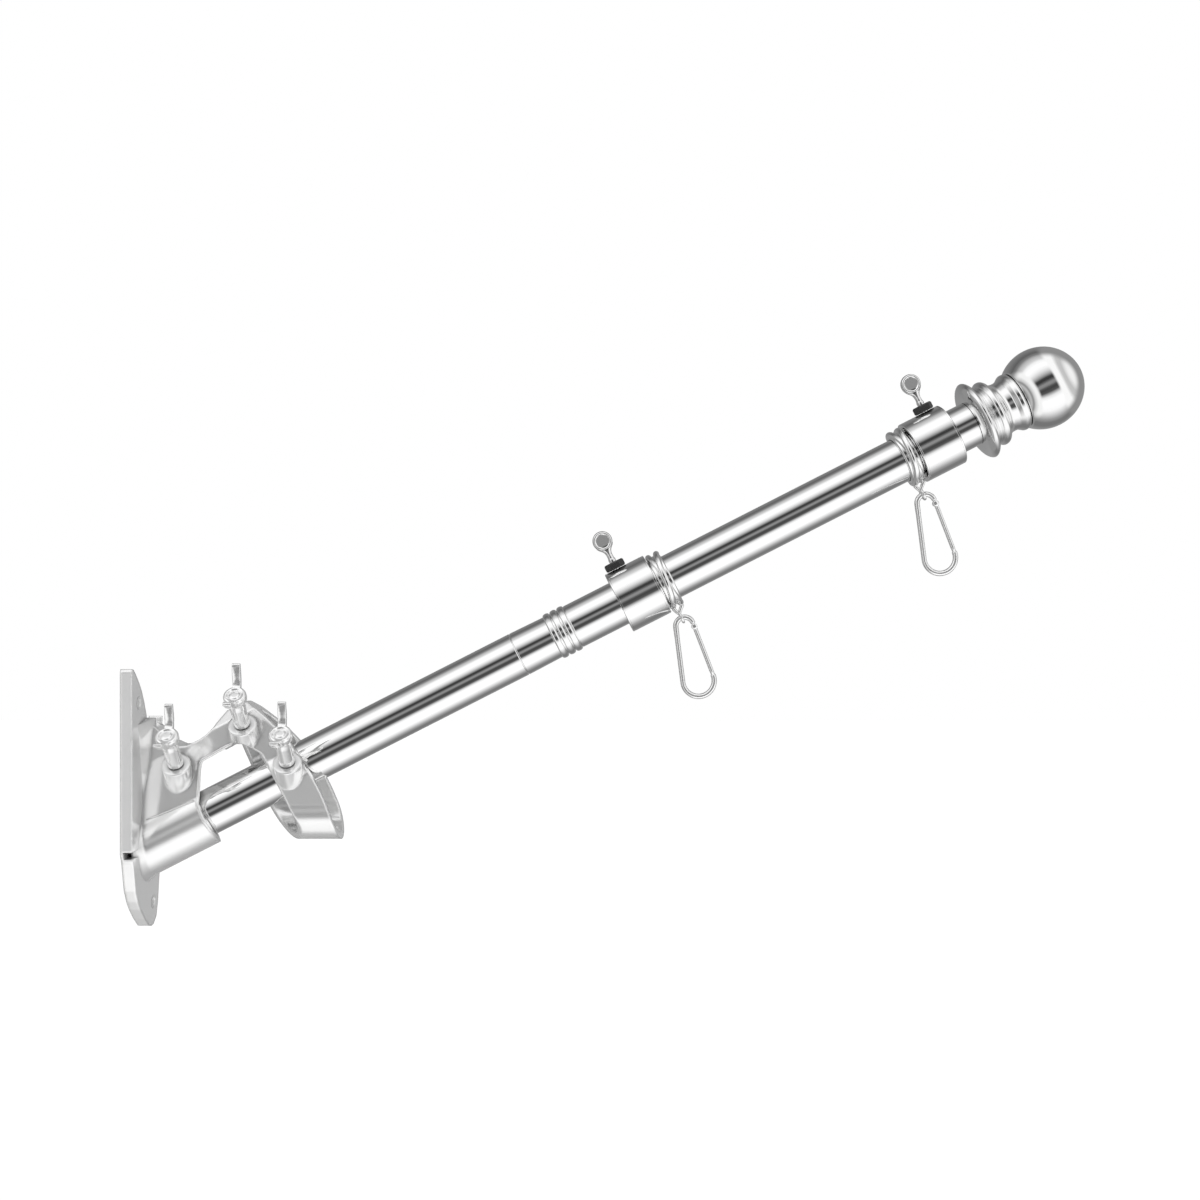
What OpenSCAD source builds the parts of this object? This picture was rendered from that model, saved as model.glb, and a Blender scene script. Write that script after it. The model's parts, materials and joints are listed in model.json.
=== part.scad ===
// Wall-mounted flagpole: cast bracket, two-section pole, flag clips and ball finial.
// +X leaves the wall, +Z is up, the pole lies in the XZ plane. Millimetres.

/* [Node] */
// Which piece to show

/* [Wall plate] */
// Thickness of the wall plate
plate_t = 6.5; // [4:0.5:12]
// Lowest point of the plate
plate_low = -73; // [-100:1:-50]
// Highest point of the plate
plate_top = 73; // [50:1:100]
// Reach of the plate toward the wing screws
plate_near = 31; // [24:0.5:45]
// Reach of the plate to the other side
plate_far = 28; // [24:0.5:45]
// Diameter of the two holes for the wall studs
wall_hole_d = 6.5; // [4:0.1:9]
// Height of the notch
notch_z = -28; // [-40:0.5:-15]
// Width of the notch in the near edge
notch_w = 4; // [3:0.5:8]
// Depth of the notch from the near edge
notch_in = 13; // [6:0.5:18]

/* [Pole] */
// Angle of the pole above the level
pole_angle = 27; // [20:0.5:35]
// Outer diameter of both tubes
pole_od = 25.4; // [20:0.1:32]
// Wall of the tubes
pole_wall = 1.2; // [0.8:0.1:3]
// Height of the pole axis at the front of the plate
socket_z = -25.5; // [-35:0.5:-15]
// Far end of the lower tube, along the pole
lower_end = 232.3; // [180:0.5:320]
// Far end of the upper tube, along the pole
upper_end = 516; // [420:1:640]
// Length of the upper tube inside the lower one
spigot_len = 60; // [30:1:90]
// Clearance of the spigot in the lower tube
spigot_gap = 0.05; // [0.02:0.01:0.3]
// First rolled bead, along the pole
bead_from = 253.2; // [240:0.2:300]
// Distance between the rolled beads
bead_pitch = 4.3; // [3.9:0.1:9]
// How far a bead stands out of the tube
bead_h = 0.9; // [0.4:0.1:2]

/* [Bracket casting] */
// Length of the socket to its square end, along the pole
socket_len = 38.6; // [30:0.2:60]
// Wall of the socket
cast_wall = 4.6; // [3:0.1:8]
// Clearance of the tube in the socket
bore_gap = 0.3; // [0.1:0.05:1]
// Half width of the web at its ridge
hood_r = 8.5; // [7:0.5:12]
// Height of the ridge over the pole axis
hood_h = 40; // [36:0.5:50]
// How far the root of the socket spreads
flare = 5; // [1:0.5:8]
// Draft of the window in the web, in degrees
window_turn = 15; // [5:1:20]
// Height of the axis of the level guide
flat_z = -6; // [-14:0.5:4]
// Start of the guide on its far side, along the pole
ring_from = 64; // [56:0.5:74]
// Slant of the guide across the pole
ring_skew = 29; // [10:1:36]

/* [Wing screws] */
// Angle of the wing screws above the level
screw_lean = 45; // [30:1:60]
// Diameter of the thread
screw_d = 6; // [4:0.5:8]
// Reach of the two screws in the web below their bosses
screw_reach = 14; // [8:0.5:18]
// Distance of the end screw's tip from the tube, along the middle of the screw
tip_gap = 2.37; // [2:0.01:4]
// Diameter of the smooth shank
shank_d = 8.6; // [6:0.2:12]
// Length of the smooth shank
shank_len = 19.5; // [14:0.5:32]
// Diameter of the hub
hub_d = 12.4; // [9:0.2:16]
// Thickness of the hub
hub_t = 5; // [3:0.5:8]
// Reach of a wing from the axis
wing_span = 15; // [11:0.5:18]
// Rise of a wing over the hub
wing_rise = 10; // [5:0.5:14]
// Thickness of a wing
wing_t = 4.4; // [2:0.1:5]
// Diameter of the bosses
boss_d = 15.6; // [12:0.2:20]
// Height of a boss over its base point
boss_h = 2; // [1:0.25:5]
// Depth of a boss below its base point
boss_root = 14; // [10:0.5:18]

/* [Clip sleeves] */
// Start of the lower sleeve, along the pole
sleeve_a = 295; // [285:1:340]
// Start of the upper sleeve, along the pole
sleeve_b = 479.7; // [440:0.1:500]
// Length of a sleeve
sleeve_len = 23.9; // [18:0.1:34]
// Outer diameter of a sleeve
sleeve_od = 35.8; // [31:0.1:42]
// Clearance of a sleeve on the tube
sleeve_gap = 0.25; // [0.1:0.05:0.5]
// Length of a swivel ring
ring_len = 8.6; // [7:0.2:14]
// Outer diameter of a swivel ring
ring_od = 35.6; // [31:0.1:42]
// Clearance beside a swivel ring
ring_play = 0.3; // [0.2:0.1:1]
// Distance of the eye below the ring
eye_drop = 5; // [4:0.1:10]
// Offset of the eye toward the foot of the pole
eye_back = 1; // [0:0.1:2]
// Radius of the eye, to the middle of its wire
eye_r = 2.9; // [2:0.1:4]
// Diameter of the wire of the eye
eye_wire = 1.6; // [1.2:0.1:2.4]
// Distance of the thumb screw from the end of its sleeve
thumb_in = 7.5; // [4:0.5:10]
// Radius of the thumb screw head
thumb_head_r = 5.6; // [4:0.1:8]
// Distance of the head from the pole axis
thumb_head_at = 35.2; // [30:0.2:44]
// Width of the lock nut
nut_w = 11.6; // [9:0.2:16]
// Height of the lock nut
nut_h = 4.2; // [3:0.2:6]

/* [Clips] */
// Diameter of the wire of the clip
wire_d = 3; // [2:0.1:4]
// Radius of the small end, to the middle of the wire
clip_top_r = 5; // [4:0.1:7]
// Radius of the large end, to the middle of the wire
clip_low_r = 8.8; // [7:0.1:12]
// Distance between the two ends' centres
clip_span = 31.5; // [26:0.1:44]
// Tilt of the hanging clip
clip_tilt = 14.2; // [0:0.2:25]
// Thickness of the gate
gate_t = 2.4; // [1.5:0.1:3]
// Clearance at the ends of the gate
gate_gap = 0.4; // [0.2:0.1:1]

/* [Finial] */
// Distance of the flange from the end of the upper tube
flange_from_end = 3.6; // [3:0.1:6]
// Diameter of the flange
flange_od = 45.4; // [36:0.2:56]
// Diameter of the ball
ball_d = 46; // [36:0.2:60]
// Distance of the centre of the ball from the end of the upper tube
ball_from_end = 44.4; // [40:0.2:60]

/* [Hidden] */
$fn = 64;
pole_r = pole_od / 2;
bore_r = pole_r + bore_gap;
cast_r = bore_r + cast_wall;
// the corner of the socket's mouth, where its upright edge meets its square end
mouth_x = 38;
mouth_z = socket_z + (socket_len - (mouth_x - plate_t) * cos(pole_angle)) / sin(pole_angle);
ring_a = sleeve_a + sleeve_len + ring_play;
ring_b = sleeve_b - ring_len - ring_play;
eye_x = ring_od / 2 + eye_drop;
flange_at = upper_end + flange_from_end;
ball_at = upper_end + ball_from_end;
clip_lean = asin((clip_low_r - clip_top_r) / clip_span);
// middles of the wall holes, across and up
wall_holes = [[-19, 54], [7, -60]];
// where the bosses of the wall, top and end screws stand on the casting
base_1 = [26.4, -16.6, 18.9];
base_2 = [62.4, -15, 40.6];
base_3 = [88, -19.8, 20.3];

// local z runs along the pole, local -x is square to it and up
module on_pole(s) {
  translate([plate_t, 0, socket_z])
    rotate([0, 90 - pole_angle, 0])
      translate([0, 0, s])
        children();
}

// a side-view outline in x and z, made w wide across y
module side(w) {
  rotate([90, 0, 0])
    linear_extrude(height = w, center = true)
      children();
}

// a round body that narrows to a ridge at -x; its flanks meet the round at a slight crease
module keel(r, tip_r, h) {
  circle(r);
  polygon([[0, -r * 0.93], [0, r * 0.93], [-h, tip_r], [-h - 6, tip_r - 5],
    [-h - 6, 5 - tip_r], [-h, -tip_r]]);
}

module plate_face() {
  polygon([[-plate_near, -27], [-plate_near + 2.6, -33], [-plate_near + 4.5, -41],
    [-plate_near + 6.5, -48], [-20.5, -54.5], [-15.5, -60], [-8, -66.5], [0, plate_low + 1],
    [4, plate_low], [8, plate_low + 0.5], [13, plate_low + 4], [16, -61], [18, -50], [20, -40],
    [plate_far - 2, -32], [plate_far, -20], [plate_far, 8], [plate_far - 3, 22], [16, 33],
    [3.3, 39.5], [-4, 44], [-9.5, 54], [-14, 60.5], [-19, 65.5], [-25, plate_top - 2.5],
    [-28, plate_top - 0.5], [-plate_near + 1, plate_top], [-plate_near, plate_top - 1.5]]);
}

module wall_plate() {
  difference() {
    rotate([90, 0, 90])
      linear_extrude(height = plate_t)
        plate_face();
    for (at = wall_holes)
      translate([-1, at[0], at[1]])
        rotate([0, 90, 0])
          cylinder(d = wall_hole_d, h = plate_t + 2);
    translate([1.5, -plate_near - 1, notch_z - notch_w / 2])
      cube([plate_t + 2, notch_in - notch_w / 2 + 1, notch_w]);
    translate([1.4, -plate_near + notch_in - notch_w / 2 - 0.2, notch_z])
      rotate([0, 90, 0])
        cylinder(d = notch_w + 0.4, h = plate_t + 2);
  }
}

module fan_outline() {
  intersection() {
    polygon([[2, -60], [2, 41.5], [9.7, 41.5], [12.5, 39.3], [17.5, 34.3], [25.8, 29.3],
      [29.7, 29.6], [33.5, 31.5], [37.4, 33.5], [40.7, 36], [44.1, 39.5], [45.7, 42.1],
      [51.3, 49.3], [55.2, 52.6], [59, 53.7], [62.9, 53.7], [130, 53.7], [130, -60]]);
    translate([-5, -48])
      circle(122, $fn = 128);
  }
}

module solid_body() {
  intersection() {
    union() {
      on_pole(-20)
        linear_extrude(height = 122)
          keel(cast_r, hood_r, hood_h);
      translate([45, 0, flat_z])
        rotate([0, 90, 0])
          cylinder(r = cast_r - 0.4, h = 85);
      side(2 * cast_r - 1.6)
        polygon([[46, flat_z], [120, flat_z], [120, 32]]);
      // the web above the socket, out to the plate
      side(2 * hood_r)
        polygon([[2, -10], [2, 60], [20, 60], [20, 10]]);
    }
    side(80)
      fan_outline();
  }
  // the socket's root spreads where it meets the plate
  translate([3.5, 0, socket_z - 1.5])
    rotate([0, 90, 0])
      cylinder(r1 = cast_r + flare, r2 = cast_r - 3.5, h = 9);
}

// the web's root widens toward the top of the plate
module gusset(m) {
  translate([0, m * 14.4, -14])
    rotate([-12 * m, 0, 0])
      linear_extrude(height = 56)
        polygon([[4, 0], [4, -20 * m], [12, -20 * m]]);
}

// what lies beyond the guide's square end
module end_cut() {
  on_pole(102)
    translate([-100, -40, 0])
      cube([200, 80, 60]);
}

module boss_at(base) {
  translate(base)
    rotate([90 - screw_lean, 0, 0])
      children();
}

module bracket_casting() {
  difference() {
    union() {
      wall_plate();
      solid_body();
      gusset(-1);
      gusset(1);
      intersection() {
        for (b = [base_1, base_2, base_3])
          boss_at(b)
            translate([0, 0, -boss_root])
              cylinder(d = boss_d, h = boss_root + boss_h);
        translate([0, -60, -60])
          cube([130, 60.5, 130]);
      }
    }
    end_cut();
    translate([-60, -60, -120])
      cube([60, 120, 240]);
    on_pole(5)
      cylinder(r = bore_r, h = 140);
    translate([50, 0, flat_z])
      rotate([0, 90, 0])
        cylinder(r = bore_r + 0.3, h = 80);
    on_pole(ring_from)
      linear_extrude(height = 80)
        keel(bore_r - 0.6, hood_r - 3, hood_h - 8);
    // the throat between the two pole positions
    side(2 * bore_r - 0.8)
      polygon([[45, flat_z], [120, flat_z], [120, 32], [60, 2]]);
    window_cut();
    skew_cut();
    for (b = [base_1, base_2, base_3])
      boss_at(b)
        translate([0, 0, -20]) {
          cylinder(d = screw_d + 0.1, h = 34);
          translate([0, 0, 20 + boss_h])
            cylinder(d = boss_d + 1, h = 12);
        }
  }
}

// a point on the socket's square end, dx further out than the corner of its mouth
function below_mouth(dx) = [mouth_x + dx, mouth_z - dx / tan(pole_angle)];

// the window's walls turn with the casting's draft, about the near end of its left side
module window_cut() {
  translate([mouth_x, -13, 0])
    rotate([0, 0, window_turn])
      translate([-mouth_x, 13, 0])
        side(90)
          polygon([[mouth_x, mouth_z], [mouth_x, 20.5], [51.3, 28.1], [63.5, 4], [76.2, -20.9],
            [90, -50], below_mouth(34)]);
}

// clears the near side between the socket's end and the slanting start of the guide
module skew_cut() {
  intersection() {
    side(80)
      polygon([[mouth_x, mouth_z], [mouth_x, 20.5], [57, 31], [62.7, 31.3], [67.3, 28],
        [73.3, 24.7], [76, 20], [127, -80], below_mouth(39.6)]);
    on_pole(ring_from + 10.4)
      rotate([-ring_skew, 0, 0])
        translate([-100, -100, -100])
          cube([200, 200, 100]);
  }
}

// how far a screw at base goes in before the middle of its tip is gap away from the tube
function reach_to_tube(base, gap) = let (
    a = [cos(pole_angle), 0, sin(pole_angle)],
    u = [0, cos(screw_lean), -sin(screw_lean)],
    w = base - [plate_t, 0, socket_z],
    across = w - (w * a) * a,
    step = u - (u * a) * a,
    half = across * step,
    rest = across * across - pow(pole_r + gap, 2))
  (-half - sqrt(half * half - step * step * rest)) / (step * step);

module wing_screw(base, reach) {
  boss_at(base) {
    translate([0, 0, -reach])
      cylinder(d = screw_d, h = reach + boss_h + 1);
    translate([0, 0, boss_h + 0.3])
      cylinder(d = shank_d, h = shank_len);
    translate([0, 0, boss_h + 0.3 + shank_len])
      difference() {
        cylinder(d = hub_d, h = hub_t);
        translate([0, 0, hub_t - 1])
          cylinder(d = hub_d - 6, h = 2);
      }
    for (a = [-1, 1])
      translate([0, 0, boss_h + 0.3 + shank_len + 1])
        rotate([90, 0, 90])
          linear_extrude(height = wing_t, center = true)
            polygon([[a * (hub_d / 2 - 1), 0], [a * (wing_span - 4), wing_rise - 5],
              [a * wing_span, wing_rise + 2], [a * (wing_span - 3), wing_rise + 3],
              [a * (hub_d / 2 - 1), hub_t - 1.5]]);
  }
}

module wing_screw_wall() {
  color("silver") wing_screw(base_1, screw_reach);
}

module wing_screw_top() {
  color("silver") wing_screw(base_2, screw_reach);
}

module wing_screw_end() {
  color("silver") wing_screw(base_3, reach_to_tube(base_3, tip_gap));
}

module lower_tube() {
  color("gainsboro")
    on_pole(5.2)
      difference() {
        cylinder(r = pole_r, h = lower_end - 5.2);
        translate([0, 0, -1])
          cylinder(r = pole_r - pole_wall, h = lower_end);
      }
}

module upper_tube() {
  color("gainsboro")
    on_pole(0)
      difference() {
        union() {
          translate([0, 0, lower_end + 0.1])
            cylinder(r = pole_r, h = upper_end - lower_end);
          translate([0, 0, lower_end - spigot_len])
            cylinder(r = pole_r - pole_wall - spigot_gap, h = spigot_len + 1);
          for (i = [0, 1, 2])
            translate([0, 0, bead_from + bead_pitch * (i + 0.5)])
              rotate_extrude()
                translate([pole_r - 1, 0])
                  circle(1 + bead_h);
        }
        translate([0, 0, lower_end - spigot_len - 1])
          cylinder(r = pole_r - 2 * pole_wall - spigot_gap, h = spigot_len + 8);
        translate([0, 0, lower_end + 6])
          cylinder(r = pole_r - pole_wall, h = upper_end);
      }
}

module sleeve(s) {
  on_pole(s)
    difference() {
      cylinder(d = sleeve_od, h = sleeve_len);
      translate([0, 0, -1])
        cylinder(r = pole_r + sleeve_gap, h = sleeve_len + 2);
    }
}

module sleeve_lower() {
  color("silver")
    difference() {
      sleeve(sleeve_a);
      on_pole(sleeve_a + thumb_in)
        rotate([0, -90, 0])
          cylinder(d = 4.1, h = 40);
    }
}

module sleeve_upper() {
  color("silver")
    difference() {
      sleeve(sleeve_b);
      on_pole(sleeve_b + sleeve_len - thumb_in)
        rotate([0, -90, 0])
          cylinder(d = 4.1, h = 40);
    }
}

module thumb_screw(s) {
  on_pole(s)
    rotate([0, -90, 0]) {
      translate([0, 0, pole_r + 0.1])
        cylinder(d = 4, h = sleeve_od / 2 - pole_r + nut_h + 2);
      translate([0, 0, sleeve_od / 2 + nut_h + 1.5])
        cylinder(d1 = 4.3, d2 = 3.2, h = 3);
      translate([0, 0, sleeve_od / 2 + nut_h + 4.4])
        cylinder(d1 = 3.1, d2 = 6.4, h = thumb_head_at - sleeve_od / 2 - nut_h - 7.4);
      translate([0, 0, thumb_head_at])
        rotate([90, 0, 0])
          difference() {
            cylinder(r = thumb_head_r, h = 4.4, center = true);
            for (m = [-1, 1])
              translate([0, 0, m * 2.2])
                cylinder(r = thumb_head_r - 1.9, h = 1.2, center = true);
          }
    }
}

module thumb_screw_lower() {
  color("silver") thumb_screw(sleeve_a + thumb_in);
}

module thumb_screw_upper() {
  color("silver") thumb_screw(sleeve_b + sleeve_len - thumb_in);
}

module thumb_nut(s) {
  on_pole(s)
    rotate([0, -90, 0])
      translate([0, 0, sleeve_od / 2 + 0.1])
        difference() {
          cylinder(d = nut_w, h = nut_h, $fn = 6);
          translate([0, 0, -1])
            cylinder(d = 4.1, h = nut_h + 2);
        }
}

module thumb_nut_lower() {
  color("black") thumb_nut(sleeve_a + thumb_in);
}

module thumb_nut_upper() {
  color("black") thumb_nut(sleeve_b + sleeve_len - thumb_in);
}

module swivel_ring(s) {
  on_pole(s)
    rotate_extrude()
      intersection() {
        union() {
          for (i = [1, 3])
            translate([ring_od / 2 - ring_len / 4, ring_len / 4 * i])
              circle(r = ring_len / 4);
          translate([pole_r, ring_len / 4])
            square([ring_od / 2 - pole_r - ring_len / 4, ring_len / 2]);
        }
        translate([pole_r + sleeve_gap, 0])
          square([ring_od, ring_len]);
      }
}

module swivel_ring_lower() {
  color("gainsboro") swivel_ring(ring_a);
}

module swivel_ring_upper() {
  color("gainsboro") swivel_ring(ring_b);
}

// two wires run down from the ring and meet above a small eye
module ring_eye(s) {
  lean = atan(ring_len * 0.34 / (eye_drop - eye_r + 1));
  difference() {
    on_pole(s + ring_len / 2 - eye_back) {
      translate([eye_x, 0, 0])
        rotate_extrude()
          translate([eye_r, 0])
            circle(d = eye_wire, $fn = 24);
      for (m = [-1, 1])
        translate([eye_x - eye_r + 0.1, 0, 0])
          rotate([0, m * lean - 90, 0])
            cylinder(d = eye_wire + 0.2, h = 7, $fn = 24);
    }
    on_pole(s - 4)
      cylinder(d = ring_od + 0.02, h = ring_len + 8);
  }
}

module ring_eye_lower() {
  color("silver") ring_eye(ring_a);
}

module ring_eye_upper() {
  color("silver") ring_eye(ring_b);
}

// origin at the centre of the small end, x across the clip, y up its length
module clip_frame(s) {
  eye_low = eye_x + eye_r;
  at = s + ring_len / 2 - eye_back;
  translate([plate_t + at * cos(pole_angle) + eye_low * sin(pole_angle), 0,
    socket_z + at * sin(pole_angle) - eye_low * cos(pole_angle)])
    rotate([90, -clip_tilt, 0])
      translate([0, eye_wire / 2 + wire_d / 2 + 0.3 - clip_top_r, 0])
        children();
}

module clip_arc(r, from, to) {
  trim = 0.15 / r * 180 / PI;
  rotate([0, 0, from + trim])
    rotate_extrude(angle = to - from - 2 * trim)
      translate([r, 0])
        circle(d = wire_d, $fn = 24);
}

// a bend's end blends into the straight wire
module clip_knuckle(r, a) {
  rotate([0, 0, a])
    translate([r, 0, 0])
      sphere(d = wire_d + 0.08, $fn = 32);
}

module clip_body(s) {
  clip_frame(s) {
    clip_arc(clip_top_r, clip_lean, 180 - clip_lean);
    clip_knuckle(clip_top_r, 180 - clip_lean);
    translate([0, -clip_span, 0]) {
      clip_arc(clip_low_r, 180 - clip_lean, 360 + clip_lean);
      clip_knuckle(clip_low_r, 180 - clip_lean);
    }
    rotate([0, 0, -clip_lean])
      translate([-clip_top_r, -0.15, 0])
        rotate([90, 0, 0])
          cylinder(d = wire_d, h = clip_span * cos(clip_lean) - 0.3, $fn = 24);
  }
}

module clip_body_lower() {
  color("silver") clip_body(ring_a);
}

module clip_body_upper() {
  color("silver") clip_body(ring_b);
}

module clip_gate(s) {
  clip_frame(s)
    rotate([0, 0, clip_lean]) {
      translate([clip_top_r, -gate_gap - 0.9, 0])
        rotate([90, 0, 0])
          cylinder(d = gate_t, h = clip_span * cos(clip_lean) - 2 * gate_gap - 0.9, $fn = 24);
      translate([clip_top_r, -gate_gap - 1.7, 0])
        cylinder(d = gate_t + 1, h = wire_d, center = true, $fn = 24);
    }
}

module clip_gate_lower() {
  color("silver") clip_gate(ring_a);
}

module clip_gate_upper() {
  color("silver") clip_gate(ring_b);
}

module finial_collar() {
  r = flange_od / 2;
  color("silver")
    on_pole(0)
      rotate_extrude()
        translate([0, flange_at])
          polygon([[0, upper_end + 0.2 - flange_at], [13.4, upper_end + 0.2 - flange_at],
            [r - 3, -2.5], [r - 1, -1.6], [r, -0.2], [r, 1], [r - 1, 2.6], [r - 3, 4.2],
            [17.6, 5.4], [17.2, 6.1], [18.6, 7.1], [19.2, 8.6], [19, 10.4], [17.6, 12],
            [15.4, 13.6], [14.6, 16.2], [14.8, 19], [16, 20.8], [16.9, 22.2], [16.9, 24],
            [16.2, 25.2], [0, 25.2]]);
}

module finial_ball() {
  color("silver")
    on_pole(ball_at)
      difference() {
        sphere(d = ball_d);
        translate([0, 0, flange_at + 25.4 - ball_at - 60])
          cylinder(r = 40, h = 60);
      }
}

bracket_casting();
wing_screw_wall();
wing_screw_top();
wing_screw_end();
lower_tube();
upper_tube();
sleeve_lower();
sleeve_upper();
thumb_screw_lower();
thumb_screw_upper();
thumb_nut_lower();
thumb_nut_upper();
swivel_ring_lower();
swivel_ring_upper();
ring_eye_lower();
ring_eye_upper();
clip_body_lower();
clip_body_upper();
clip_gate_lower();
clip_gate_upper();
finial_collar();
finial_ball();
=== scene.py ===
import json
import math

import bmesh
import bpy
from mathutils import Matrix, Vector


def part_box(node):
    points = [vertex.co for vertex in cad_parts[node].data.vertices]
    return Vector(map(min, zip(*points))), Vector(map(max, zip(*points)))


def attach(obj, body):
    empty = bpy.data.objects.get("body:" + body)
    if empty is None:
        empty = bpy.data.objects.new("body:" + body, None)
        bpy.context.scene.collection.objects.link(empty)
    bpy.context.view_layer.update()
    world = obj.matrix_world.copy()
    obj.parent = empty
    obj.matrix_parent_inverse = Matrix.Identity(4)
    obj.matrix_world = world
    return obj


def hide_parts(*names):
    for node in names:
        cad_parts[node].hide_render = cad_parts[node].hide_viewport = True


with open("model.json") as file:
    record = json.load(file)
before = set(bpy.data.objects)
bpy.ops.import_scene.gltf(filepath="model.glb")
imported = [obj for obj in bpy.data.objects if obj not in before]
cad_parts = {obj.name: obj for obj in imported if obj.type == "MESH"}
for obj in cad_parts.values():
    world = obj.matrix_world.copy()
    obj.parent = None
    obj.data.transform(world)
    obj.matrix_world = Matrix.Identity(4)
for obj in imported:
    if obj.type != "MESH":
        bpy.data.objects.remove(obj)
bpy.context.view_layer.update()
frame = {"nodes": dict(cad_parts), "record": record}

# Lengths below are in millimetres; MM turns them into the frame's metres.
MM = 0.001
JOINTS = {j["name"]: j for j in frame["record"]["behaviour"]["joints"]}
CASTING = frame["nodes"]["bracket_casting"]


def joint_at(name):
    return Vector(JOINTS[name]["pos_m"]) / MM


# The pole's axis: BASE is where it leaves the wall plate's front face, and UP is square to it.
# FAR points to the side away from the wing screws.
PLATE_T = 6.5
ALONG = Vector(JOINTS["ring_lower_spin"]["axis"]).normalized()
UP = Vector((-ALONG.z, 0, ALONG.x))
FAR = Vector((0, 1, 0))
on_axis = joint_at("ring_lower_spin")
BASE = on_axis - ALONG * ((on_axis.x - PLATE_T) / ALONG.x)


def axes(origin, ex, ey, ez):
    """Matrix from millimetres along ex, ey, ez about origin (mm) to the frame in metres."""
    m = Matrix.Identity(4)
    for c, v in enumerate((ex, ey, ez, origin)):
        for r in range(3):
            m[r][c] = v[r] * MM
    return m


# Local z runs along the pole from its foot, local x is square to it and up.
ON_POLE = axes(BASE, UP, -FAR, ALONG)
IN_FRAME = axes(Vector(), *Matrix.Identity(3))


def along_pole(p):
    return (p - BASE).dot(ALONG)


def span(node, radius):
    """Where a round node of this radius starts and ends along the pole."""
    lo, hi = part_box(node)
    reach = radius * ALONG.z
    return ((lo[0] / MM - BASE.x + reach) / ALONG.x,
            (hi[0] / MM - BASE.x - reach) / ALONG.x)


# ---------------------------------------------------------------- shader helpers
def map_range(tree, value, given=(0.0, 1.0), to=(0.0, 1.0), eased=False):
    """The value moved from the range given to the range to."""
    node = tree.nodes.new("ShaderNodeMapRange")
    if eased:
        node.interpolation_type = "SMOOTHSTEP"
    for socket, v in zip(("From Min", "From Max", "To Min", "To Max"), (*given, *to)):
        node.inputs[socket].default_value = v
    tree.links.new(value, node.inputs["Value"])
    return node.outputs[0]


def mix_colour(tree, factor, a, b, blend="MIX"):
    """The colours a and b mixed; each of the three is a value or another node's output.
    They go to sockets 0, 6 and 7, which are a colour mix's own factor, A and B."""
    node = tree.nodes.new("ShaderNodeMix")
    node.data_type = "RGBA"
    node.blend_type = blend
    for socket, v in zip((0, 6, 7), (factor, a, b)):
        if isinstance(v, bpy.types.NodeSocket):
            tree.links.new(v, node.inputs[socket])
        else:
            node.inputs[socket].default_value = v
    return node.outputs[2]


def noise(tree, vector, scale, detail):
    node = tree.nodes.new("ShaderNodeTexNoise")
    node.inputs["Scale"].default_value = scale
    node.inputs["Detail"].default_value = detail
    tree.links.new(vector, node.inputs["Vector"])
    return node.outputs["Fac"]


def dot(tree, vector, direction):
    node = tree.nodes.new("ShaderNodeVectorMath")
    node.operation = "DOT_PRODUCT"
    node.inputs[1].default_value = direction
    tree.links.new(vector, node.inputs[0])
    return node.outputs["Value"]


# ---------------------------------------------------------------- materials
SMUDGE_SCALE = 55.0
SMUDGE_RANGE = (0.35, 0.75)
# The next two set the painted shade in corners: the ambient occlusion range over which it fades,
# and how dark the colour gets where it is deepest.
PAINTED_SHADE_AO_RANGE = (0.30, 0.85)
PAINTED_SHADE_DARKEST = 0.22
GRAIN_DEPTH = 0.1


def metal(name, tone, rough, wear, grain=0.0, grain_scale=0.0, bevel=0.0, metallic=1.0,
          dark=0.94, painted_shade_reach=0.0):
    """Metal whose tone and roughness vary in faint smudges, down to dark * tone and up to
    rough + wear. It may have a fine grain, rounded edges (bevel) and painted shade in its corners,
    where the colour is darkened by ambient occlusion within the given reach."""
    m = bpy.data.materials.new(name)
    m.use_nodes = True
    tree = m.node_tree
    new, link = tree.nodes.new, tree.links.new
    surface = tree.nodes["Principled BSDF"].inputs
    surface["Metallic"].default_value = metallic
    place = new("ShaderNodeTexCoord").outputs["Object"]
    smudge = noise(tree, place, SMUDGE_SCALE, 5.0)
    link(map_range(tree, smudge, SMUDGE_RANGE, (rough, rough + wear)), surface["Roughness"])
    worn = tone * dark
    colour = mix_colour(tree, smudge, (tone, tone, tone * 0.995, 1), (worn, worn, worn, 1))
    # Painted shade: the base colour is multiplied darker in corners, creases and recesses, where
    # ambient occlusion finds nearby surfaces.
    if painted_shade_reach:
        ao = new("ShaderNodeAmbientOcclusion")
        ao.samples = 6
        ao.inputs["Distance"].default_value = painted_shade_reach * MM
        shade = map_range(tree, ao.outputs["AO"], PAINTED_SHADE_AO_RANGE, (PAINTED_SHADE_DARKEST, 1.0))
        colour = mix_colour(tree, 1.0, colour, shade, "MULTIPLY")
    link(colour, surface["Base Color"])
    normal = None
    if bevel:
        rounding = new("ShaderNodeBevel")
        rounding.samples = 8
        rounding.inputs["Radius"].default_value = bevel * MM
        normal = rounding.outputs[0]
    if grain:
        bump = new("ShaderNodeBump")
        bump.inputs["Strength"].default_value = grain
        bump.inputs["Distance"].default_value = GRAIN_DEPTH * MM
        link(noise(tree, place, grain_scale, 4.0), bump.inputs["Height"])
        if normal:
            link(normal, bump.inputs["Normal"])
        normal = bump.outputs[0]
    if normal:
        link(normal, surface["Normal"])
    return m


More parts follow.
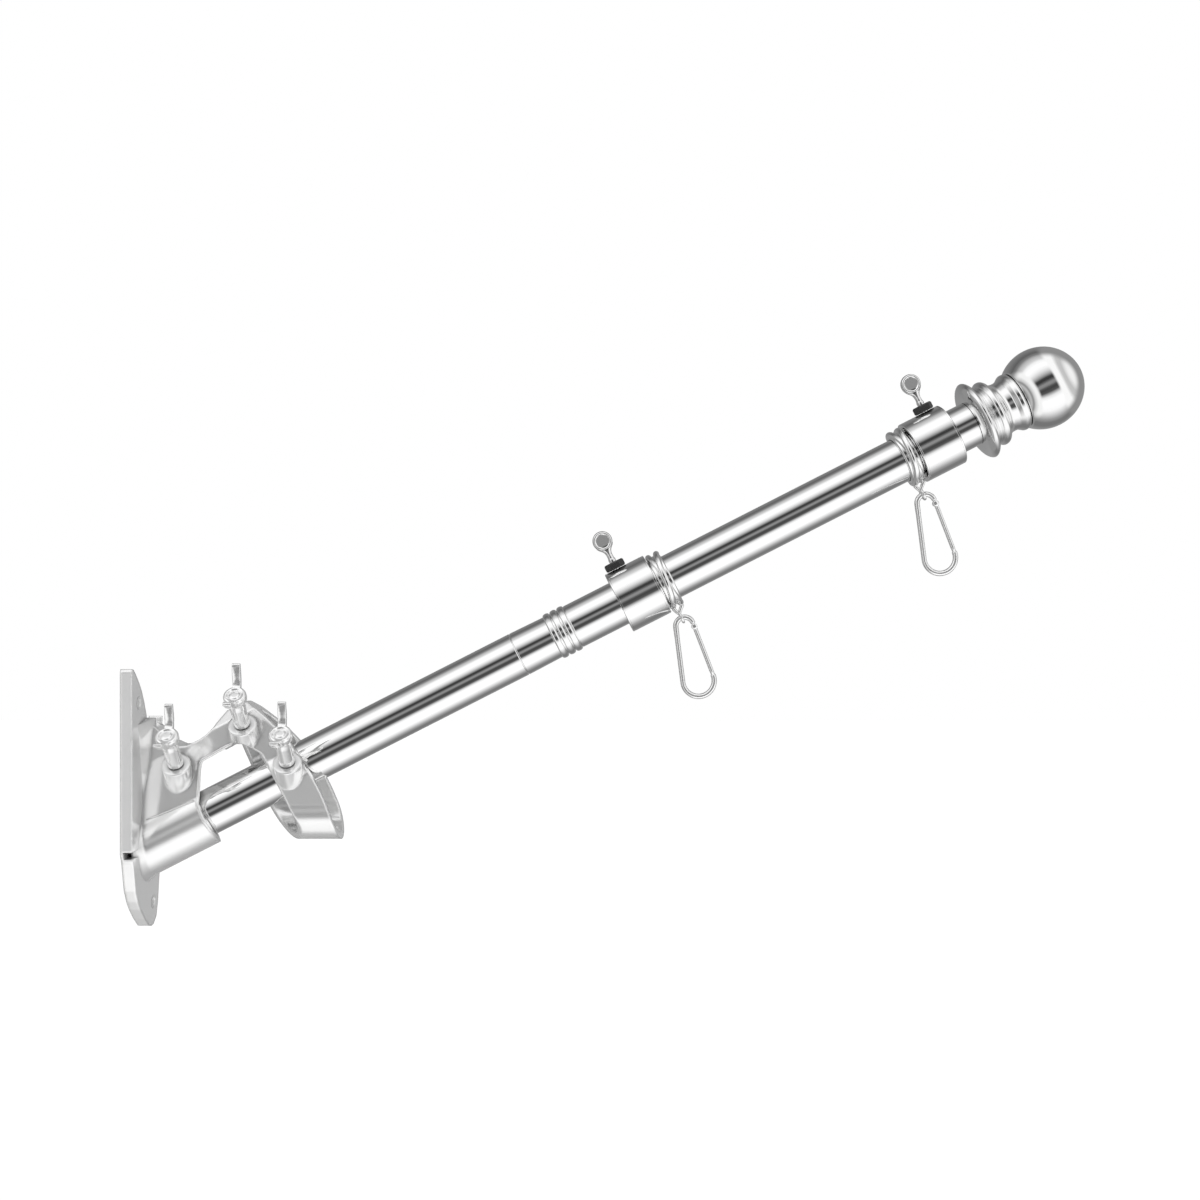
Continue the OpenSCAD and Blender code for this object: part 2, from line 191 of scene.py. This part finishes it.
TUBE = metal("polished_tube", 0.93, 0.02, 0.03, grain=0.03, grain_scale=400)
SLEEVE = metal("polished_sleeve", 0.93, 0.03, 0.04, grain=0.04, grain_scale=500)
TRIM = metal("polished_trim", 0.95, 0.07, 0.04)
BALL = metal("polished_ball", 0.88, 0.03, 0.04, grain=0.05, grain_scale=300)
# The casting and the plated screws get painted shade in their corners from ambient occlusion,
# reaching 5 mm on the casting and 2.5 mm on the screws.
CAST = metal("polished_casting", 0.98, 0.14, 0.06, grain=0.05, grain_scale=200, bevel=2.0,
             metallic=0.66, painted_shade_reach=5.0)
SCREW = metal("plated_screw", 0.98, 0.07, 0.05, bevel=0.6, metallic=0.72, painted_shade_reach=2.5)
WIRE = metal("plated_wire", 0.96, 0.16, 0.05, metallic=0.88)
COLLAR = metal("polished_collar", 0.90, 0.04, 0.05, grain=0.04, grain_scale=300)
NUT = metal("black_oxide", 0.06, 0.34, 0.10, bevel=0.5, metallic=0.5, dark=0.7)

# The wall plate's rim reflects less than the rest of the casting. It ends just inside PLATE_T.
RIM_METALLIC = 0.48
RIM_FADE = ((PLATE_T - 0.9) * MM, (PLATE_T - 0.1) * MM)


def pale_rim(material):
    tree = material.node_tree
    metallic = tree.nodes["Principled BSDF"].inputs["Metallic"]
    place = tree.nodes.new("ShaderNodeTexCoord").outputs["Object"]
    outward = dot(tree, place, CASTING.matrix_world.row[0].xyz)
    fade = map_range(tree, outward, RIM_FADE, (RIM_METALLIC, metallic.default_value))
    tree.links.new(fade, metallic)


pale_rim(CAST)


# ---------------------------------------------------------------- mesh helpers
def place_object(name, data):
    o = bpy.data.objects.new(name, data)
    bpy.context.scene.collection.objects.link(o)
    return o


def make(name, bm, matrix, body, material, node=None, sharp=50):
    """Turns bm into the finished piece, which takes the place of the CAD node."""
    bmesh.ops.transform(bm, matrix=matrix, verts=bm.verts)
    bmesh.ops.recalc_face_normals(bm, faces=bm.faces)
    me = bpy.data.meshes.new(name)
    bm.to_mesh(me)
    bm.free()
    for p in me.polygons:
        p.use_smooth = True
    me.set_sharp_from_angle(angle=math.radians(sharp))
    me.materials.append(material)
    o = place_object(name, me)
    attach(o, body)
    if node:
        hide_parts(node)


def turn(n):
    """n angles evenly spaced round a circle."""
    return [2 * math.pi * k / n for k in range(n)]


def arc(r, start, sweep, steps, z=0.0):
    """Points in x and z on an arc about (0, z)."""
    return [(r * math.cos(a), 0, r * math.sin(a) + z)
            for a in (start + sweep * k / steps for k in range(steps + 1))]


def line(start, step, count):
    """count (x, z) points on a straight line."""
    return [(start[0] + step[0] * k, start[1] + step[1] * k) for k in range(count)]


def smooth(points, step=6, closed=False):
    """Catmull-Rom curve through the points."""
    out = []
    n = len(points)
    for i in range(n if closed else n - 1):
        q = [Vector(points[(i + k) % n] if closed else points[min(max(i + k, 0), n - 1)])
             for k in (-1, 0, 1, 2)]
        for j in range(step):
            t = j / step
            out.append(0.5 * ((2 * q[1]) + (q[2] - q[0]) * t
                              + (2 * q[0] - 5 * q[1] + 4 * q[2] - q[3]) * t * t
                              + (3 * q[1] - q[0] - 3 * q[2] + q[3]) * t ** 3))
    if not closed:
        out.append(Vector(points[-1]))
    return out


def mirrored(half, lo, hi):
    """A lathe profile from lo to hi whose ends are alike; half gives, from one end to the
    middle, (radius, distance inward of that end)."""
    return [(r, lo + d) for r, d in half] + [(r, hi - d) for r, d in reversed(half)]


def bridge(bm, a, b):
    """Faces between two rings of vertices."""
    n = len(a)
    for k in range(n):
        bm.faces.new((a[k], a[(k + 1) % n], b[(k + 1) % n], b[k]))


def join_into(bm, part, matrix):
    """Adds the mesh part, moved by the matrix, to bm."""
    bmesh.ops.transform(part, matrix=matrix, verts=part.verts)
    mesh = bpy.data.meshes.new("part")
    part.to_mesh(mesh)
    part.free()
    bm.from_mesh(mesh)
    bpy.data.meshes.remove(mesh)


LONG_STEP, SUPPORT = 1.5, 0.3
ON_AXIS = 1e-6


def with_support(profile):
    """The profile with a point SUPPORT from each corner, so that long faces shade flat."""
    out = [profile[0]]
    for a, b in zip(profile, profile[1:]):
        length = math.hypot(b[0] - a[0], b[1] - a[1])
        if length > LONG_STEP:
            for t in (SUPPORT / length, 1 - SUPPORT / length):
                out.append((a[0] + (b[0] - a[0]) * t, a[1] + (b[1] - a[1]) * t))
        out.append(b)
    return out


def lathe_into(bm, profile, segs=96, closed=False):
    """Turns (radius, z) pairs about z; a closed profile makes a ring, an open one a solid."""
    if closed:
        profile = with_support(list(profile) + [profile[0]])[:-1]
    else:
        profile = with_support(profile)
    rings = []
    for r, z in profile:
        if r < ON_AXIS:
            rings.append([bm.verts.new((0, 0, z))])
        else:
            rings.append([bm.verts.new((r * math.cos(a), r * math.sin(a), z)) for a in turn(segs)])
    pairs = list(zip(rings, rings[1:]))
    if closed:
        pairs.append((rings[-1], rings[0]))
    for a, b in pairs:
        if len(a) == len(b):
            bridge(bm, a, b)
            continue
        for k in range(segs):
            if len(a) == 1:
                bm.faces.new((a[0], b[k], b[(k + 1) % segs]))
            else:
                bm.faces.new((a[(k + 1) % segs], a[k], b[0]))
    return bm


# Each end of a wire is rounded by two smaller rings, at these angles, and a flat face.
CAP_ANGLES, CAP_DEPTH = (0.75, 1.275), 0.5


def sweep_into(bm, path, radii, sides=20, closed=False):
    """A round wire along a path; radii is one number or one for each point."""
    pts = [Vector(p) for p in path]
    n = len(pts)
    rad = radii if isinstance(radii, list) else [radii] * n
    tangents = []
    for i in range(n):
        a = pts[(i - 1) % n] if closed or i else pts[0]
        b = pts[(i + 1) % n] if closed or i < n - 1 else pts[-1]
        tangents.append((b - a).normalized())
    ref = Vector((0, 0, 1)) if abs(tangents[0].z) < 0.9 else Vector((0, 1, 0))
    u = (ref - tangents[0] * ref.dot(tangents[0])).normalized()
    rows = []
    for i in range(n):
        t = tangents[i]
        u = (u - t * u.dot(t)).normalized()
        v = t.cross(u)
        rows.append([bm.verts.new(pts[i] + (u * math.cos(q) + v * math.sin(q)) * rad[i])
                     for q in turn(sides)])
    for a, b in list(zip(rows, rows[1:])) + ([(rows[-1], rows[0])] if closed else []):
        bridge(bm, a, b)
    if closed:
        return
    for i, outward in ((0, -1), (n - 1, 1)):
        row = previous = rows[i]
        for q in CAP_ANGLES:
            out = tangents[i] * outward * rad[i] * CAP_DEPTH * math.sin(q)
            ring = [bm.verts.new(pts[i] + (w.co - pts[i]) * math.cos(q) + out) for w in row]
            bridge(bm, previous, ring)
            previous = ring
        bm.faces.new(previous)


def slab(outline, half, bevel, rounds):
    """A flat outline in x and z, made 2 * half thick across y, with rounded edges."""
    part = bmesh.new()
    a = [part.verts.new((x, -half, z)) for x, z in outline]
    b = [part.verts.new((x, half, z)) for x, z in outline]
    part.faces.new(a)
    part.faces.new(b[::-1])
    for k in range(len(a)):
        k2 = (k + 1) % len(a)
        part.faces.new((a[k], b[k], b[k2], a[k2]))
    bmesh.ops.recalc_face_normals(part, faces=part.faces)
    bmesh.ops.bevel(part, geom=part.edges[:], offset=bevel, segments=rounds, profile=0.5,
                    affect="EDGES", clamp_overlap=True)
    return part


# ---------------------------------------------------------------- pole
POLE_R = 12.7
BORE_R = POLE_R - 1.2
JOINT_GAP = 0.1
CHAMFER, CHAMFER_R = 0.4, POLE_R - 0.35     # of the tubes' ends at their joint
BEADS = (255.35, 259.65, 263.95)    # centres of the rolled beads, along the pole
BEAD_HALF, BEAD_RISE = 1.95, 1.25
BEADS_END = 266.5
SPIGOT_IN, SPIGOT_OUT = 60, 6       # the inner tube's reach either way from the joint


def lower_tube():
    start, end = span("lower_tube", POLE_R)
    profile = [(POLE_R, start), (POLE_R, end - CHAMFER), (CHAMFER_R, end), (BORE_R, end),
               (BORE_R, start)]
    bm = lathe_into(bmesh.new(), profile, 128, closed=True)
    make("tube_lower", bm, ON_POLE, "pole_and_bracket", TUBE, "lower_tube", 30)


def upper_tube():
    start = span("lower_tube", POLE_R)[1] + JOINT_GAP
    end = span("upper_tube", POLE_R)[1]
    profile = [(BORE_R, start + 0.05), (CHAMFER_R, start), (POLE_R, start + CHAMFER)]
    for c in BEADS:
        for t in (math.radians(q) for q in range(0, 181, 15)):
            r = CHAMFER_R + BEAD_RISE * math.sin(t) ** 0.8
            profile.append((r, c - BEAD_HALF * math.cos(t)))
    profile += [(POLE_R, BEADS_END), (POLE_R, end), (BORE_R, end)]
    bm = lathe_into(bmesh.new(), profile, 128, closed=True)
    outer, inner = BORE_R - 0.05, BORE_R - 1.2
    lathe_into(bm, [(outer, start - SPIGOT_IN), (outer, start + SPIGOT_OUT),
                    (inner, start + SPIGOT_OUT), (inner, start - SPIGOT_IN)], 64, closed=True)
    make("tube_upper", bm, ON_POLE, "pole_and_bracket", TUBE, "upper_tube", 50)


# ---------------------------------------------------------------- finial
# The turning's outline: (radius, distance past its flange), from the flange to the ball's seat.
FLANGE_R = 22.7
TURNING = [(13.4, -3.3), (16.5, -3.1), (19.4, -2.4), (21.6, -1.2), (FLANGE_R, 0.4),
           (FLANGE_R - 0.6, 1.9), (FLANGE_R - 2.4, 3.3), (18.6, 4.5), (17.4, 5.4), (17.3, 6.3),
           (18.3, 7.2), (19.1, 8.5), (19.0, 10.2), (18.0, 11.6), (16.2, 12.8), (15.0, 14.4),
           (14.6, 16.6), (14.8, 18.8), (15.8, 20.4), (16.7, 21.8), (16.9, 23.2), (16.6, 24.5),
           (16.2, 25.1)]
TURNING_LEN = TURNING[-1][1]
FLANGE_BACK, FOOT_BACK = 40.8, 44.15    # from the ball's centre back to the flange and foot
BALL_R = 23.0
SEAT_GAP = 0.3                          # from the turning's end to where the ball starts


def finial():
    """The turning, and the ball, whose outermost point tells where its centre is."""
    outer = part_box("finial_ball")[1]
    centre = (outer[0] / MM - BALL_R - BASE.x) / ALONG.x
    flange = centre - FLANGE_BACK
    profile = [(0, centre - FOOT_BACK)]
    profile += [(p.x, p.y + flange) for p in smooth(TURNING, 4)] + [(0, flange + TURNING_LEN)]
    make("finial_turning", lathe_into(bmesh.new(), profile, 128), ON_POLE, "pole_and_bracket",
         COLLAR, "finial_collar", 60)
    seat = math.acos((centre - flange - TURNING_LEN - SEAT_GAP) / BALL_R)
    profile = [(0, centre - BALL_R * math.cos(seat))]
    profile += [(BALL_R * math.sin(t), centre - BALL_R * math.cos(t))
                for t in (seat + (math.pi - seat) * k / 72 for k in range(72))]
    profile += [(0, centre + BALL_R)]
    make("ball", lathe_into(bmesh.new(), profile, 144), ON_POLE, "pole_and_bracket",
         BALL, "finial_ball", 60)


# ---------------------------------------------------------------- sleeves
SLEEVE_R, SLEEVE_BORE_R = 17.9, 12.95


def sleeve(which):
    skin = SLEEVE_R - 0.1
    half = [(SLEEVE_BORE_R, 0.5), (SLEEVE_BORE_R + 0.5, 0), (SLEEVE_R - 0.5, 0), (skin, 0.3),
            (skin, 0.9), (SLEEVE_R - 0.35, 1.1), (skin, 1.3)]
    profile = mirrored(half, *span("sleeve_" + which, SLEEVE_R))
    make("sleeve_tube_" + which, lathe_into(bmesh.new(), profile, 128, closed=True), ON_POLE,
         "sleeve_" + which, SLEEVE, "sleeve_" + which, 30)


# ---------------------------------------------------------------- swivel rings
RING_R = 17.8
RING_WIRE_R = 1.72
RING_MID_R = 15.15                  # mean radius of the wires
RING_WAVE, RING_APART = 0.75, 2.45  # how far the two wires swing out and apart as they cross
BAND_HALF, BAND_BORE_R, BAND_R = 3.9, 13.0, 14.9
EYE_R, EYE_WIRE_R = 2.9, 0.8


def ring(which):
    """Two wires that cross twice each turn, on a plain band."""
    mid = sum(span("swivel_ring_" + which, RING_R)) / 2
    bm = bmesh.new()
    for side in (-1, 1):
        path = []
        for a in turn(144):
            cross = a + 0.25 * math.sin(2 * a)
            r = RING_MID_R + side * RING_WAVE * math.sin(cross)
            path.append((r * math.cos(a), r * math.sin(a),
                         mid + side * RING_APART * math.cos(cross)))
        sweep_into(bm, path, RING_WIRE_R, closed=True)
    half = [(BAND_BORE_R, 0), (BAND_R - 0.6, 0), (BAND_R, 0.7)]
    lathe_into(bm, mirrored(half, mid - BAND_HALF, mid + BAND_HALF), closed=True)
    make("ring_beads_" + which, bm, ON_POLE, "ring_" + which, TRIM,
         "swivel_ring_" + which)


def ring_strap(which):
    """The wire eye under a ring, and the two legs that hold it. Points are height above the
    pole's axis, 0 and place along the pole."""
    low = joint_at("clip_%s_swing" % which)
    drop = -(low - BASE).dot(UP)
    s = along_pole(low)
    bm = bmesh.new()
    eye = [(EYE_R - drop + EYE_R * math.cos(a), EYE_R * math.sin(a), s) for a in turn(40)]
    sweep_into(bm, eye, EYE_WIRE_R, 16, closed=True)
    eye_top = 2 * EYE_R - 0.2 - drop
    for side in (-1, 1):
        leg = smooth([(-16.8, 0, s + 1 + side * 2.6), (-17.6, 0, s + 0.7 + side * 2.1),
                      (-19.0, 0, s + 0.2 + side * 1.1), (eye_top, 0, s + side * 0.4)])
        sweep_into(bm, leg, [1.15 - 0.25 * k / len(leg) for k in range(len(leg))], 16)
    make("ring_strap_" + which, bm, ON_POLE, "ring_" + which, WIRE,
         "ring_eye_" + which)


# ---------------------------------------------------------------- snap clips
TOP_R, LOW_R, SPAN = 5.0, 8.8, 31.5     # small end, large end, and between their centres
LEAN = math.asin((LOW_R - TOP_R) / SPAN)
LENGTH = SPAN * math.cos(LEAN)          # of each straight side
CLIP_TILT = math.radians(14.2)          # of a clip as it hangs at rest
WIRE_R, THIN_R, GATE_R = 1.5, 1.4, 1.2  # the wire is thinner down its straight side
HANG_GAP = 0.3                          # from the eye's wire to the clip's
SIDE = Vector((-math.sin(LEAN), 0, math.cos(LEAN)))     # up the gate's side
CORNER = Vector((TOP_R * math.cos(LEAN), 0, TOP_R * math.sin(LEAN)))
PIN_DOWN = 2.1


def clip_matrix(which):
    """Local x runs across the clip, z up its length, from the centre of its small end."""
    low = joint_at("clip_%s_swing" % which)
    ex = Vector((math.cos(CLIP_TILT), 0, math.sin(CLIP_TILT)))
    ez = Vector((-math.sin(CLIP_TILT), 0, math.cos(CLIP_TILT)))
    return axes(low + ez * (EYE_WIRE_R + WIRE_R + HANG_GAP - TOP_R), ex, FAR, ez)


def clip_wire(which):
    """The bent wire from the gate's pin round the small end, down and round to the hook."""
    bm = bmesh.new()
    path = arc(TOP_R, LEAN + 0.02, math.pi - 2 * LEAN, 24)
    bottom = arc(LOW_R, math.pi - LEAN, math.pi + 2 * LEAN, 36, -SPAN)
    a, b = Vector(path[-1]), Vector(bottom[0])
    path += [a.lerp(b, k / 16) for k in range(1, 16)] + bottom
    radii = [1.42] * 3 + [WIRE_R] * 23 + [1.46] + [THIN_R] * 13
    radii += [THIN_R + 0.1 * min(1, k / 8) for k in range(37)]
    sweep_into(bm, path, radii)
    hook = Vector(path[-1])
    sweep_into(bm, [hook - SIDE * 0.6, hook + SIDE * 1.1, hook + SIDE * 2.0],
               [WIRE_R, 0.75, 1.1], 16)
    make("clip_wire_" + which, bm, clip_matrix(which), "clip_" + which, WIRE,
         "clip_body_" + which)


def clip_bar(which):
    """The sprung gate and the head of its pin."""
    bm = bmesh.new()
    start, end = CORNER - SIDE * 1.4, CORNER - SIDE * (LENGTH - 0.5)
    sweep_into(bm, [start.lerp(end, k / 12) for k in range(13)],
               [GATE_R - 0.05] + [GATE_R] * 11 + [GATE_R - 0.15])
    pin = lathe_into(bmesh.new(), mirrored([(0, 0), (1.5, 0), (1.7, 0.2)], -WIRE_R, WIRE_R), 32)
    join_into(bm, pin, Matrix.Translation(CORNER - SIDE * PIN_DOWN)
              @ Matrix.Rotation(math.pi / 2, 4, "X"))
    make("clip_bar_" + which, bm, clip_matrix(which), "gate_" + which, WIRE,
         "clip_gate_" + which)


# ---------------------------------------------------------------- thumb screws
# heights are measured from the pole's axis
NUT_FOOT, NUT_TOP, NUT_R, NUT_BORE_R = 18.0, 22.1, 5.75, 2.05
NECK = 22.2
HEAD = 35.2


def thumb_matrix(which):
    s = along_pole(joint_at("thumb_screw_%s_turn" % which))
    return axes(BASE + ALONG * s, ALONG, FAR, UP)


def thumb(which):
    """A shank that flattens into a neck, and a dished round head."""
    bm = bmesh.new()
    levels = [(POLE_R + 0.15, 1.9, 1.9), (SLEEVE_R, 2.0, 2.0), (NECK, 2.0, 2.0),
              (NECK + 1.2, 2.1, 2.1), (NECK + 2.6, 1.75, 1.7), (NECK + 4.4, 1.7, 1.6),
              (NECK + 6.2, 2.1, 1.65), (NECK + 7.6, 3.0, 1.7), (NECK + 8.8, 4.2, 1.8),
              (NECK + 10, 5.0, 1.9)]
    rows = [[bm.verts.new((p.y * math.cos(a), p.z * math.sin(a), p.x)) for a in turn(32)]
            for p in smooth(levels, 4)]
    for a, b in zip(rows, rows[1:]):
        bridge(bm, a, b)
    bm.faces.new(rows[0][::-1])
    bm.faces.new(rows[-1])
    half = [(0, 0), (3.5, 0), (3.9, -0.4), (4.4, -0.7), (4.9, -0.6), (5.4, 0), (5.6, 0.9)]
    head = lathe_into(bmesh.new(), mirrored(half, -1.5, 1.5), 64)
    join_into(bm, head, Matrix.Translation((0, 0, HEAD)) @ Matrix.Rotation(math.pi / 2, 4, "X"))
    make("thumb_" + which, bm, thumb_matrix(which), "thumb_screw_" + which,
         TRIM, "thumb_screw_" + which, 45)


def lock_nut(which):
    """A hexagon nut with chamfered corners and a hole for the screw."""
    bm = bmesh.new()

    def hexagon(r, z):
        return [bm.verts.new((r * math.cos(a), r * math.sin(a), z)) for a in turn(6)]

    rows = [hexagon(NUT_R - 0.65, NUT_FOOT), hexagon(NUT_R, NUT_FOOT + 0.5),
            hexagon(NUT_R, NUT_TOP - 0.7), hexagon(NUT_R - 0.65, NUT_TOP)]
    foot, top = hexagon(NUT_BORE_R, NUT_FOOT), hexagon(NUT_BORE_R, NUT_TOP)
    for a, b in [*zip(rows, rows[1:]), (rows[0], foot), (rows[-1], top), (foot, top)]:
        bridge(bm, a, b)
    make("lock_nut_" + which, bm, thumb_matrix(which), "sleeve_" + which, NUT,
         "thumb_nut_" + which, 25)


# ---------------------------------------------------------------- wing screws
WING_REACH = {"wall": 14, "top": 14, "end": 6.7}    # of the shank into the casting
BOSS_GAP = 2.3
HUB = BOSS_GAP + 19.5                               # where the shank widens into the hub
WING_FOOT = HUB + 1
WING_HALF = 2.2


def wing_outline(side):
    """One wing, from the hub out to its tip and back."""
    points = [(4.4, 0.2), (7.5, 1.6), (11.2, 5.4), (14.2, 10.6), (15.0, 12.2), (13.4, 13.0),
              (10.4, 9.6), (7.2, 5.0), (4.4, 3.4)]
    curve = smooth([(side * x, WING_FOOT + z) for x, z in points], 3, closed=True)
    return [(p.x, p.y) for p in curve]


def wing_screw(which):
    turning = "wing_screw_%s_turn" % which
    ez = Vector(JOINTS[turning]["axis"]).normalized()
    ex = Vector((1, 0, 0))
    low = -WING_REACH[which]
    bm = bmesh.new()
    shank = [(0, low), (2.5, low), (2.95, low + 0.6), (2.95, BOSS_GAP), (3.9, BOSS_GAP),
             (4.3, 2.8), (4.3, 16.5), (4.1, 18.0), (3.7, 19.4), (3.8, 20.6)]
    hub = [(4.6, -0.3), (5.6, 0.1), (6.1, 0.9), (6.2, 2.0), (6.2, 3.6), (5.9, 4.5), (5.1, 5.0),
           (4.5, 4.9), (4.0, 4.4), (3.5, 4.1), (2.8, 4.2), (2.4, 4.6), (1.8, 4.8), (0, 4.85)]
    lathe_into(bm, shank + [(r, HUB + z) for r, z in hub], 64)
    for side in (-1, 1):
        join_into(bm, slab(wing_outline(side), WING_HALF, 0.9, 3),
                  Matrix.Rotation(math.pi / 2, 4, "Z"))
    make("wing_" + which, bm, axes(joint_at(turning), ex, ez.cross(ex), ez),
         "wing_screw_" + which, SCREW, "wing_screw_" + which)


# ---------------------------------------------------------------- casting
# The routes are in x and z, and are laid on the casting's near side.
SEAM_ROUTE = line((9, -10.7), (2.4, 0.96), 12)
MOUTH_AT = 37.9                     # along the pole, just inside the socket's end
MOUTH_TOP, MOUTH_LOW = 1.5, 17.1    # distances below the axis
OUTSIDE = -60                       # a y well clear of the near side
NEAR_SIDE = -2                      # the near side lies wholly before this y


def lip_route():
    """Down the window's slanting edge, round its corner, down beside the socket and round the
    socket's mouth."""
    route = line((59, 33.2), (-1.75, -0.98), 11) + [(38.4, 21.2), (37.6, 18.8)]
    route += line((37.5, 16), (0, -2), 10)
    for k in range(9):
        down = MOUTH_TOP + (MOUTH_LOW - MOUTH_TOP) * math.sin(math.pi / 2 * k / 8)
        at = BASE + ALONG * MOUTH_AT - UP * down
        route.append((at.x, at.z))
    return route


def laid_on_casting(route):
    """The route's points, seen from the near side, as a curve on the casting's surface."""
    inverse = CASTING.matrix_world.inverted()
    toward = inverse.to_3x3() @ FAR
    found = []
    for x, z in route:
        hit, spot, _, _ = CASTING.ray_cast(inverse @ (Vector((x, OUTSIDE, z)) * MM), toward)
        point = (CASTING.matrix_world @ spot) / MM
        if hit and point.y < NEAR_SIDE:
            found.append(point)
    return smooth(found, 3)


def mouth_lip():
    """The rolled lip on the near edge of the socket's open end and of the window above it,
    and the seam where the web's flank meets the socket."""
    bm = bmesh.new()
    path = laid_on_casting(lip_route())
    last = len(path) - 1
    full = [min(1, k / 12, (last - k) / 12) for k in range(last + 1)]
    sweep_into(bm, path, [0.35 + 0.6 * f for f in full], 12)
    path = laid_on_casting(SEAM_ROUTE)
    sweep_into(bm, path, [0.2 + 0.35 * min(1, k / 6) for k in range(len(path))], 10)
    make("mouth_lip", bm, IN_FRAME, "pole_and_bracket", CAST, sharp=60)


lower_tube()
upper_tube()
finial()
mouth_lip()
for end in ("lower", "upper"):
    sleeve(end)
    ring(end)
    ring_strap(end)
    clip_wire(end)
    clip_bar(end)
    thumb(end)
    lock_nut(end)
for place in ("wall", "top", "end"):
    wing_screw(place)
CASTING.data.materials.clear()
CASTING.data.materials.append(CAST)

# ---------------------------------------------------------------- camera
CENTRE = Vector((0.2587, 0.0, 0.1103))
DISTANCE = 0.823
SENSOR, FOCAL = 36.0, 44.1
cam_data = bpy.data.cameras.new("camera")
cam = place_object("camera", cam_data)
cam.location = CENTRE - FAR * DISTANCE
cam.rotation_euler = (math.radians(90), 0, 0)
cam_data.sensor_width = SENSOR
cam_data.lens = FOCAL
cam_data.clip_start = 0.01
bpy.context.scene.camera = cam

# ---------------------------------------------------------------- studio
# brightness round the pole's axis: 0 faces the camera, 90 is up
STUDIO = [(-180, .30), (-164, .34), (-135, .20), (-119, .21), (-104, .38), (-94, .60), (-83, .88),
          (-73, 1.12), (-47, 1.25), (-38, 1.12), (-31, .95), (-25, .50), (-19, .10), (-10, .06),
          (-5, .10), (0, .26), (5, .30), (10, .14), (15, .04), (21, .06), (26, .28), (31, .50),
          (38.5, .80), (47, 1.05), (60, 1.25), (75, 1.05), (83, .73), (94, .53), (104, .24),
          (117, .13), (135, .2), (180, .30)]

# brightness along the pole, from its foot (-1) to its tip (1)
WALLS = [(-1, .22), (-.90, .26), (-.82, .60), (-.76, .28), (-.70, .70), (-.60, 1.05), (.60, 1.12),
         (.68, 1.12), (.78, .66), (.86, .62), (.95, 1.0), (1, 1.05)]
BEHIND = (0.30, 0.30, 0.30, 1)      # the walls behind the pole
FRONT_FADE = (-0.35, 0.15)
WALLS_FADE = (0.40, 0.54)           # share along the pole where the dark cards stop


def studio_world():
    """Dark and light cards for the metal to reflect; all else sees plain white."""
    w = bpy.data.worlds.new("studio")
    bpy.context.scene.world = w
    w.use_nodes = True
    tree = w.node_tree
    tree.nodes.clear()
    new, link = tree.nodes.new, tree.links.new
    ray = new("ShaderNodeTexCoord").outputs["Generated"]

    def math_node(operation, *values):
        node = new("ShaderNodeMath")
        node.operation = operation
        for socket, value in enumerate(values):
            link(value, node.inputs[socket])
        return node.outputs[0]

    def cards(stops, value, blue=1.0):
        """The brightness that the stops give along value, which runs between their ends."""
        lo, hi = stops[0][0], stops[-1][0]
        node = new("ShaderNodeValToRGB")
        marks = node.color_ramp.elements
        marks.remove(marks[-1])
        for i, (at, v) in enumerate(stops):
            mark = marks.new((at - lo) / (hi - lo)) if i else marks[0]
            mark.position = (at - lo) / (hi - lo)
            mark.color = (v, v, v * blue, 1)
        link(value, node.inputs[0])
        return node.outputs[0]

    def background(colour):
        node = new("ShaderNodeBackground")
        if isinstance(colour, bpy.types.NodeSocket):
            link(colour, node.inputs["Color"])
        else:
            node.inputs["Color"].default_value = colour
        return node.outputs[0]

    along = dot(tree, ray, ALONG)
    near = dot(tree, ray, -FAR)
    angle = math_node("ARCTAN2", dot(tree, ray, UP), near)
    round_pole = cards(STUDIO, map_range(tree, angle, (-math.pi, math.pi)), 1.005)
    stripes = cards(WALLS, map_range(tree, along, (-1.0, 1.0)))
    walls = mix_colour(tree, map_range(tree, near, FRONT_FADE, eased=True), BEHIND, stripes)
    past_cards = map_range(tree, math_node("ABSOLUTE", along), WALLS_FADE, eased=True)
    seen = new("ShaderNodeMixShader")
    link(new("ShaderNodeLightPath").outputs["Is Glossy Ray"], seen.inputs[0])
    link(background((1, 1, 1, 1)), seen.inputs[1])
    link(background(mix_colour(tree, past_cards, round_pole, walls)), seen.inputs[2])
    link(seen.outputs[0], new("ShaderNodeOutputWorld").inputs["Surface"])


FLOOR_HALF, FLOOR_Z = 6.0, -0.45
FLOOR_TONE, FLOOR_GLOW = 0.9, 0.14


def floor():
    """A pale floor far below, which glows a little for the camera and isn't reflected."""
    me = bpy.data.meshes.new("floor")
    s, z = FLOOR_HALF, FLOOR_Z
    me.from_pydata([(-s, -s, z), (s, -s, z), (s, s, z), (-s, s, z)], [], [(0, 1, 2, 3)])
    o = place_object("floor", me)
    m = bpy.data.materials.new("pale_floor")
    m.use_nodes = True
    tree = m.node_tree
    tree.nodes.clear()
    new, link = tree.nodes.new, tree.links.new
    matt = new("ShaderNodeBsdfDiffuse")
    matt.inputs["Color"].default_value = (FLOOR_TONE, FLOOR_TONE, FLOOR_TONE, 1)
    strength = new("ShaderNodeMath")
    strength.operation = "MULTIPLY"
    strength.inputs[1].default_value = FLOOR_GLOW
    link(new("ShaderNodeLightPath").outputs["Is Camera Ray"], strength.inputs[0])
    glow = new("ShaderNodeEmission")
    link(strength.outputs[0], glow.inputs["Strength"])
    both = new("ShaderNodeAddShader")
    link(matt.outputs[0], both.inputs[0])
    link(glow.outputs[0], both.inputs[1])
    link(both.outputs[0], new("ShaderNodeOutputMaterial").inputs["Surface"])
    me.materials.append(m)
    o.visible_glossy = False


studio_world()
floor()
bpy.context.scene.view_settings.view_transform = "Standard"
